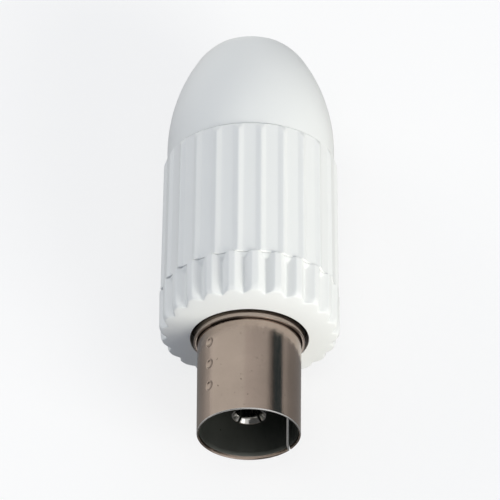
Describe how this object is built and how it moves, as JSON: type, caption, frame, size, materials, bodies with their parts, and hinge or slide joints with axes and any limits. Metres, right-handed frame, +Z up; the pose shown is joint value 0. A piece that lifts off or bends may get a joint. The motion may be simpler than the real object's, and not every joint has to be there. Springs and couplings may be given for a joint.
{
  "type": "coaxial aerial connector",
  "caption": "Straight female coaxial aerial connector with a rolled metal socket, a toothed front collar and a ribbed, domed cover that unscrews to let the cable in.",
  "frame": {"origin": "on the surface that the part lies on, under the middle of its length", "axes": "+Y along the connector's axis from the mouth of the socket to the cable entry, +Z up"},
  "size_m": [0.0178, 0.0434, 0.0178],
  "materials": {
    "white_plastic": "satin moulded white",
    "nickel_sheet": "nickel-plated sheet, satin",
    "nickel_turned": "nickel-plated, turned",
    "dark_resin": "matt moulded"
  },
  "bodies": {
    "front": {"outer_contact": "nickel_sheet", "centre_contact": "nickel_turned", "insulator": "dark_resin", "connector_body": "nickel_turned", "front_collar": "white_plastic"},
    "grip": {"cable_claw": "nickel_sheet"},
    "cover": {"rear_cover": "white_plastic"}
  },
  "joints": [
    {"name": "thread_travel", "type": "slide", "parent": "front", "child": "grip", "axis": [0, 1, 0], "range_m": [0, 0.0045]},
    {"name": "cover_turn", "type": "hinge", "parent": "grip", "child": "cover", "pos_m": [0, 0, 0.00891], "axis": [0, 1, 0], "range_deg": [0, 1080]}
  ],
  "couplings": [
    {"joint": "thread_travel", "follows": "cover_turn", "m_per_rad": 0.00023873}
  ]
}
